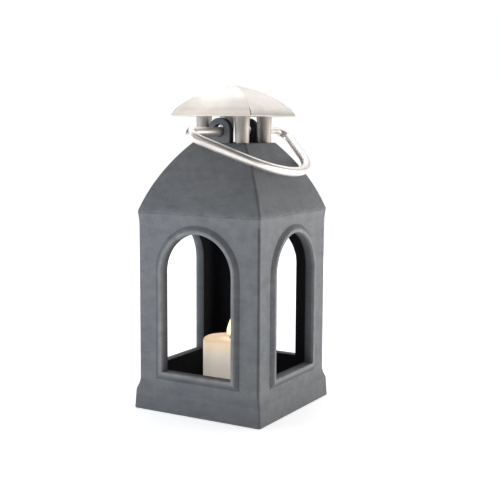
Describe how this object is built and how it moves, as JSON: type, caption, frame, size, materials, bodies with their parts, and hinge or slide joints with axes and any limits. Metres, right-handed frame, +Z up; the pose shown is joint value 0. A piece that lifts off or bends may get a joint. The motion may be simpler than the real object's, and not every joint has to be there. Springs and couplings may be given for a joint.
{
  "type": "candle lantern",
  "caption": "Square candle lantern with arched windows in all four walls, a curved roof, a raised metal cap over the vent, a swinging bar handle and a lift-out pillar candle.",
  "frame": {"origin": "middle of the flat underside, on the surface that the lantern stands on", "axes": "+Z up, -Y out of the window that is called the front, +X to the right, the side on which the handle lies down"},
  "size_m": [0.1591, 0.2054, 0.3513],
  "materials": {
    "stoneware": "matt, unglazed, dark blue-grey, fine sandy grain",
    "cap_metal": "satin, warm silver",
    "leg_metal": "satin, warm silver",
    "handle_steel": "smooth satin",
    "screw_steel": "plain machine screw",
    "wax": "smooth ivory wax, slightly translucent",
    "wick": "braided cotton, charred at the tip"
  },
  "bodies": {
    "lantern": {"lantern_body": "stoneware", "chimney_cap": "cap_metal", "cap_leg_front_right": "leg_metal", "cap_leg_back_right": "leg_metal", "cap_leg_back_left": "leg_metal", "cap_leg_front_left": "leg_metal", "tie_screws": "screw_steel", "tie_screw_washers": "screw_steel"},
    "bar_handle": {"handle": "handle_steel"},
    "candle": {"candle_wax": "wax", "candle_wick": "wick"}
  },
  "joints": [
    {"name": "handle_swing", "type": "hinge", "parent": "lantern", "child": "bar_handle", "pos_m": [0, 0, 0.3015], "axis": [0, -1, 0], "range_deg": [0, 238]},
    {"name": "candle_lift_out", "type": "slide", "parent": "lantern", "child": "candle", "axis": [0, -0.682, 0.7314], "range_m": [0, 0.155]}
  ]
}
